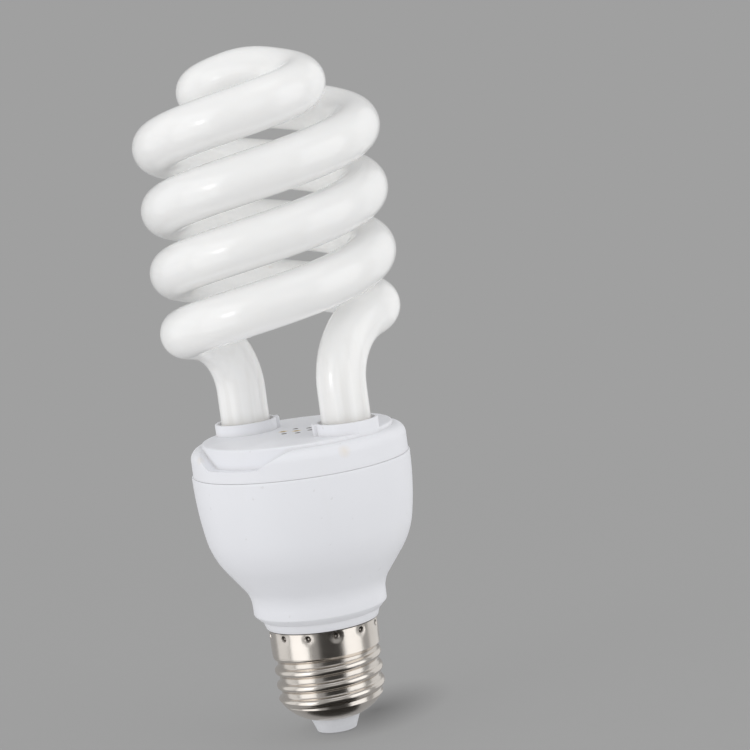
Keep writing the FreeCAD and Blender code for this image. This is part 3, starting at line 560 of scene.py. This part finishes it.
print("corners closer than", MERGE_REACH / MM, "mm count as one")

# %% Choose the edges to round
VENT_ZONE = 6.0 * MM
RIDGE_ANGLE = 32


def is_ridge(edge):
    """True where two faces meet in a sharp edge that points out of the piece."""
    if len(edge.link_faces) != 2:
        return False
    first, second = edge.link_faces
    to_second = second.calc_center_median() - first.calc_center_median()
    return to_second.dot(first.normal) < 0 and edge.calc_face_angle() > math.radians(RIDGE_ANGLE)


def weigh_ridges(mesh, lowest):
    """Mark the ridges above a height and clear of the vents, so that the bevel finds them."""
    shape = bmesh.new()
    shape.from_mesh(mesh)
    weight = shape.edges.layers.float.new("bevel_weight_edge")
    found = 0
    for edge in shape.edges:
        middle = (edge.verts[0].co + edge.verts[1].co) / 2
        clear = middle.z > lowest and math.hypot(middle.x, middle.y) > VENT_ZONE
        if clear and is_ridge(edge):
            edge[weight] = 1.0
            found += 1
    shape.to_mesh(mesh)
    shape.free()
    return found


print("a ridge bends by more than", RIDGE_ANGLE, "degrees")

# %% Round the edges of a moulding
SOFT_EDGE = 0.2 * MM
SOFT_STEPS = 2


def moulding(node, name, lowest):
    """Copy a solid's mesh, merge it, and round its ridges above a height."""
    start_clean()
    copy = bpy.data.objects.new(name, nodes[node].data.copy())
    bpy.context.scene.collection.objects.link(copy)
    pick(copy)
    bpy.ops.mesh.customdata_custom_splitnormals_clear()
    merge_corners(copy)
    ridges = weigh_ridges(copy.data, lowest)
    bevel = copy.modifiers.new("soft_edges", "BEVEL")
    bevel.width = SOFT_EDGE
    bevel.segments = SOFT_STEPS
    bevel.limit_method = "WEIGHT"
    bevel.use_clamp_overlap = False
    bpy.ops.object.modifier_apply(modifier=bevel.name)
    merge_corners(copy)
    smooth(copy)
    print(name, "has", ridges, "rounded edges")
    return copy


COVER_SHOWS_ABOVE = 70.0 * MM
HOUSING_SHOWS_ABOVE = 26.0 * MM

cover = moulding("top_cover", "soft_cover", COVER_SHOWS_ABOVE)
housing = moulding("lower_housing", "soft_housing", HOUSING_SHOWS_ABOVE)

# %% [markdown]
# ## A seam as fine as a hair
#
# The cover snaps onto the housing, and what shows of the joint is a hairline. The solids keep
# a wider gap there. Scaling the cover would move all of it, so only the foot of its rim comes
# down, by a little less than the gap, and the two mouldings still don't touch.

# %% Close the seam and hand the mouldings over
RIM_FOOT = 66.15 * MM
RIM_SLACK = 0.01 * MM
RIM_INNER_RADIUS = 24.6 * MM
SEAM_CLOSE = 0.13 * MM


def lower_rim(piece):
    """Move the corners at the foot of the cover's rim down, and return how many there are."""
    moved = 0
    for corner in piece.data.vertices:
        at_foot = abs(corner.co.z - RIM_FOOT) < RIM_SLACK
        if at_foot and math.hypot(corner.co.x, corner.co.y) > RIM_INNER_RADIUS:
            corner.co.z -= SEAM_CLOSE
            moved += 1
    return moved


print("rim corners moved:", lower_rim(cover))
hand_over(cover, "white_plastic", "top_cover")
hand_over(housing, "white_plastic", "lower_housing")

# %% [markdown]
# ## The studio
#
# The lamp stands on its tip in front of a plain grey that has no horizon. Grey paper would
# change its tone with every light that is moved, so the grey is written into the background
# itself: rays from the camera, and rays that a mirror or a glass sends on, see the plain grey,
# and all other rays see a pale room that gives soft light from all round.

# %% Sort the rays
BACKGROUND_GREY = shade(160, 160, 160)
ROOM_WHITE = grey(1.0)
ROOM_LIGHT = 0.73


def background_rays(tree):
    """Return a socket that is 1 for rays that show the background, and 0 for rays that light."""
    path = tree.nodes.new("ShaderNodeLightPath")
    shows = path.outputs["Is Camera Ray"]
    for kind in ("Is Glossy Ray", "Is Transmission Ray"):
        either = tree.nodes.new("ShaderNodeMath")
        either.operation = "MAXIMUM"
        tree.links.new(shows, either.inputs[0])
        tree.links.new(path.outputs[kind], either.inputs[1])
        shows = either.outputs[0]
    return shows


def mix_shaders(tree, share, first, second):
    """Return a shader that is the first where the share is 0, and the second where it is 1."""
    mix = tree.nodes.new("ShaderNodeMixShader")
    tree.links.new(share, mix.inputs["Fac"])
    tree.links.new(first, mix.inputs[1])
    tree.links.new(second, mix.inputs[2])
    return mix.outputs[0]


world = bpy.data.worlds.new("studio")
bpy.context.scene.world = world
world.use_nodes = True
room = world.node_tree
pale_room = room.nodes["Background"]
pale_room.inputs["Color"].default_value = ROOM_WHITE
pale_room.inputs["Strength"].default_value = ROOM_LIGHT
plain_grey = room.nodes.new("ShaderNodeBackground")
plain_grey.inputs["Color"].default_value = BACKGROUND_GREY
room_or_grey = mix_shaders(room, background_rays(room), pale_room.outputs[0],
                           plain_grey.outputs[0])
room.links.new(room_or_grey, room.nodes["World Output"].inputs["Surface"])
print("the room shines at", ROOM_LIGHT, "and the background is grey", round(BACKGROUND_GREY[0], 3))

# %% [markdown]
# ## The floor
#
# To the camera the floor is the same plain grey, so no horizon shows. Near the lamp's foot it
# is real paper in part, which takes the lamp's own soft shadow. The short dark shadow at the
# right of the foot is laid on as a soft oval instead, because a light that cast it would also
# change the cap. To the light the floor is a pale sheet that brightens the lamp from below.

# %% Shade and paper for the camera
PAPER_NEAR = 0.14
PAPER_FAR = 0.42
PAPER_SHARE = 0.35
PAPER_GREY = 0.375
PAPER_GRAIN = 1.01

SHADE_BEARING = 103.9
SHADE_PLACE = (16.3 * MM, -2.96 * MM)
SHADE_SIZE = (29.1 * MM, 17.0 * MM)
SHADE_DEPTH = 0.66
SHADE_FALL = 1.23


def shaded_light(recipe):
    """1 all over the floor, and less in the soft oval that is the shadow."""
    bearing = math.radians(SHADE_BEARING)
    x, y = recipe.axis("X"), recipe.axis("Y")
    along = x * math.cos(bearing) + y * math.sin(bearing) - SHADE_PLACE[0]
    across = y * math.cos(bearing) - x * math.sin(bearing) - SHADE_PLACE[1]
    outwards = span(along * (1 / SHADE_SIZE[0]), across * (1 / SHADE_SIZE[1]))
    return 1 - (1 - outwards).clamped() ** SHADE_FALL * SHADE_DEPTH


def paper_or_grey(recipe):
    """What the camera sees: plain grey, and paper in part near the lamp's foot."""
    settings = {"operation": "LENGTH"}
    from_foot = recipe.node("ShaderNodeVectorMath", settings, recipe.place, output="Value")
    share = (1 - from_foot.ramp(PAPER_NEAR, PAPER_FAR)) * PAPER_SHARE
    grain = recipe.noise(scale=300.0, detail=3.0).clamped()
    paper = recipe.blend(grain, grey(PAPER_GREY), grey(PAPER_GREY * PAPER_GRAIN))
    recipe.set(Base_Color=paper, Roughness=1.0, Specular_IOR_Level=0.0)
    plain = recipe.tree.nodes.new("ShaderNodeEmission")
    plain.inputs["Color"].default_value = BACKGROUND_GREY
    recipe.tree.links.new(shaded_light(recipe).socket, plain.inputs["Strength"])
    return mix_shaders(recipe.tree, share.socket, plain.outputs[0], recipe.shader.outputs[0])


print("the shadow is", round(SHADE_SIZE[0] * 2 / MM, 1), "mm long")

# %% Lay the floor
FLOOR_SIZE = 6.0
PALE_FLOOR = grey(0.6)
FLOOR_LIFT = 0.1


def pale_sheet(tree):
    """What the light meets: a pale sheet that shines a little by itself."""
    paint = tree.nodes.new("ShaderNodeBsdfDiffuse")
    paint.inputs["Color"].default_value = PALE_FLOOR
    lift = tree.nodes.new("ShaderNodeEmission")
    lift.inputs["Strength"].default_value = FLOOR_LIFT
    pale = tree.nodes.new("ShaderNodeAddShader")
    tree.links.new(paint.outputs[0], pale.inputs[0])
    tree.links.new(lift.outputs[0], pale.inputs[1])
    return pale.outputs[0]


def studio_floor():
    recipe = Recipe("studio_floor")
    tree = recipe.tree
    surface = mix_shaders(tree, background_rays(tree), pale_sheet(tree), paper_or_grey(recipe))
    end = next(n for n in tree.nodes if n.type == "OUTPUT_MATERIAL")
    tree.links.new(surface, end.inputs["Surface"])
    return recipe.material


start_clean()
bpy.ops.mesh.primitive_plane_add(size=FLOOR_SIZE, location=(0, 0, 0))
floor = bpy.context.object
floor.name = "floor"
floor.visible_glossy = False
floor.data.materials.append(studio_floor())
print("the floor is", FLOOR_SIZE, "m wide")

# %% [markdown]
# ## Soft lamps
#
# Bright metal shows its surroundings, so its look is made by what stands round it. Tall soft
# lamps to the left and right, and weaker ones behind them, draw the bright bands into the cap
# and the soft streaks into the glass. A small bright one at the left makes the sharpest
# streak, and two faint ones, in front and above, fill in. The camera doesn't see them. Each
# is given by the angle that it fills as seen from the bulb, because that is the width of its
# band in the metal.

# %% Set up the lamps
CAMERA_BEARING = -48.0
AIM = Vector((0, 0, 0.085))
MIDDLE = 0.22
TALL = 1.1
LAMPS = (
    # name, bearing from the camera, distance, half angle, brightness, height, middle
    ("lamp_left", -59, 0.9, 21, 0.98, 1.4, 0.1),
    ("lamp_left_small", -50, 0.85, 6, 3.4, 0.18, 0.18),
    ("lamp_left_rear", -104, 0.9, 19, 0.45, TALL, MIDDLE),
    ("lamp_right", 60, 0.9, 23, 0.98, TALL, MIDDLE),
    ("lamp_right_rear", 128, 0.9, 24, 0.4, TALL, MIDDLE),
    ("lamp_front", 4, 1.1, 16, 0.2, 0.5, 0.42),
    ("lamp_above", 20, 0.25, 45, 0.6, 0.5, 1.0),
)


def stand_at(bearing, distance, height):
    """A place that is given by its bearing and distance from the axis, and its height."""
    angle = math.radians(bearing)
    return Vector((distance * math.cos(angle), distance * math.sin(angle), height))


def softbox(name, bearing, distance, half_angle, brightness, tall, middle):
    """Stand up a soft lamp that faces the bulb."""
    data = bpy.data.lights.new(name, "AREA")
    data.shape = "RECTANGLE"
    data.size = 2 * distance * math.tan(math.radians(half_angle))
    data.size_y = tall
    data.energy = brightness * math.pi * data.size * data.size_y
    lamp = bpy.data.objects.new(name, data)
    bpy.context.scene.collection.objects.link(lamp)
    place = stand_at(CAMERA_BEARING + bearing, distance, middle)
    lamp.location = place
    lamp.rotation_euler = (AIM - place).to_track_quat("-Z", "Y").to_euler()
    lamp.visible_camera = False
    print(name, "is", round(data.size, 2), "m wide")


for row in LAMPS:
    softbox(*row)

# %% [markdown]
# ## A black card
#
# The dark band in the middle of the cap is the mirror image of something dark in front of it.
# A photographer holds up a black card there. Here too it is a card, seen by mirrors only, so
# it takes no light away. It reaches from in front to under the lamp, so the cap's rounded end
# is dark too.

# %% Hold up the card
CARD_SIZE = (0.53, 1.25)
CARD_BEARING = CAMERA_BEARING + 9
CARD_DISTANCE = 0.2
CARD_HEIGHT = -0.325
CARD_FACES = (-0.473, 0.881)

start_clean()
bpy.ops.mesh.primitive_plane_add(size=1.0, location=(0, 0, 0))
card = bpy.context.object
card.name = "black_card"
card.scale = (*CARD_SIZE, 1.0)
card.location = stand_at(CARD_BEARING, CARD_DISTANCE, CARD_HEIGHT)
card.rotation_euler = stand_at(CARD_BEARING, *CARD_FACES).to_track_quat("Z", "Y").to_euler()
settle(card)
card.visible_camera = False
card.visible_diffuse = False
card.visible_shadow = False
card.data.materials.append(mottled("black_card", (54, 51, 48), (48, 46, 43), 0.9))
print("the card is", CARD_SIZE[0], "m wide and", CARD_SIZE[1], "m long")

# %% [markdown]
# ## The camera
#
# The photograph was taken from a little above, with the lamp leaning left in the frame. The
# camera's distance, height, tilt, roll and lens were fitted to the photograph, with the lamp's
# own sizes as the ruler.

# %% Set up the camera
CAMERA_DISTANCE = 639.3 * MM
CAMERA_HEIGHT = 165.7 * MM
CAMERA_TURN = 1.82
CAMERA_DIP = 7.26
CAMERA_ROLL = -7.59
LENS = 129.95
SENSOR = 36.0


def aim_camera():
    """Place the camera on its bearing, face it to the axis, then turn, dip and roll it."""
    heading = math.radians(CAMERA_BEARING + 180 - CAMERA_TURN)
    dip, roll = math.radians(CAMERA_DIP), math.radians(CAMERA_ROLL)
    forward = Vector((math.cos(heading) * math.cos(dip), math.sin(heading) * math.cos(dip),
                      -math.sin(dip)))
    level = Vector((math.sin(heading), -math.cos(heading), 0))
    above = level.cross(forward)
    right = level * math.cos(roll) + above * math.sin(roll)
    up = above * math.cos(roll) - level * math.sin(roll)
    place = stand_at(CAMERA_BEARING, CAMERA_DISTANCE, CAMERA_HEIGHT)
    turned = Matrix((right, up, -forward)).transposed().to_4x4()
    return Matrix.Translation(place) @ turned


camera = bpy.data.objects.new("camera", bpy.data.cameras.new("camera"))
camera.data.lens = LENS
camera.data.sensor_width = SENSOR
bpy.context.scene.collection.objects.link(camera)
camera.matrix_world = aim_camera()
bpy.context.scene.camera = camera
bpy.context.scene.view_settings.view_transform = "Standard"
print("camera at", [round(v, 3) for v in camera.location])
